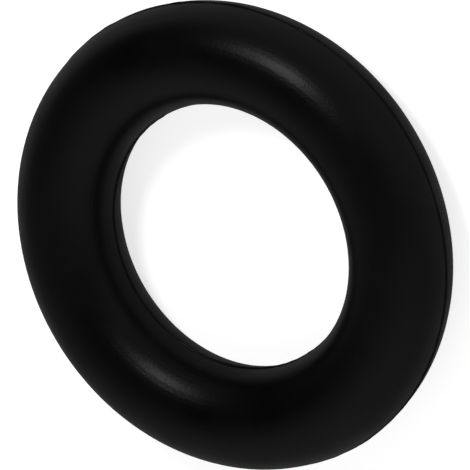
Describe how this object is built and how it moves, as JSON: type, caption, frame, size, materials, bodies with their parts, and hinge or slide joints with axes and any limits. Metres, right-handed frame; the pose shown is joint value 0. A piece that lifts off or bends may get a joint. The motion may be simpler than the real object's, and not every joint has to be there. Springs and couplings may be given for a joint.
{
  "type": "rubber o-ring",
  "caption": "Black rubber o-ring: a round section carried round a circle, with a fine trimmed mould parting line on its inside and its outside.",
  "frame": {"origin": "centre of the ring, on the plane of its parting line", "axes": "+Z along the axis of the ring, which lies flat"},
  "size_m": [0.014, 0.014, 0.003],
  "materials": {
    "rubber": "satin black nitrile rubber, moulded"
  },
  "bodies": {
    "root": {"o_ring": "rubber"}
  },
  "joints": []
}
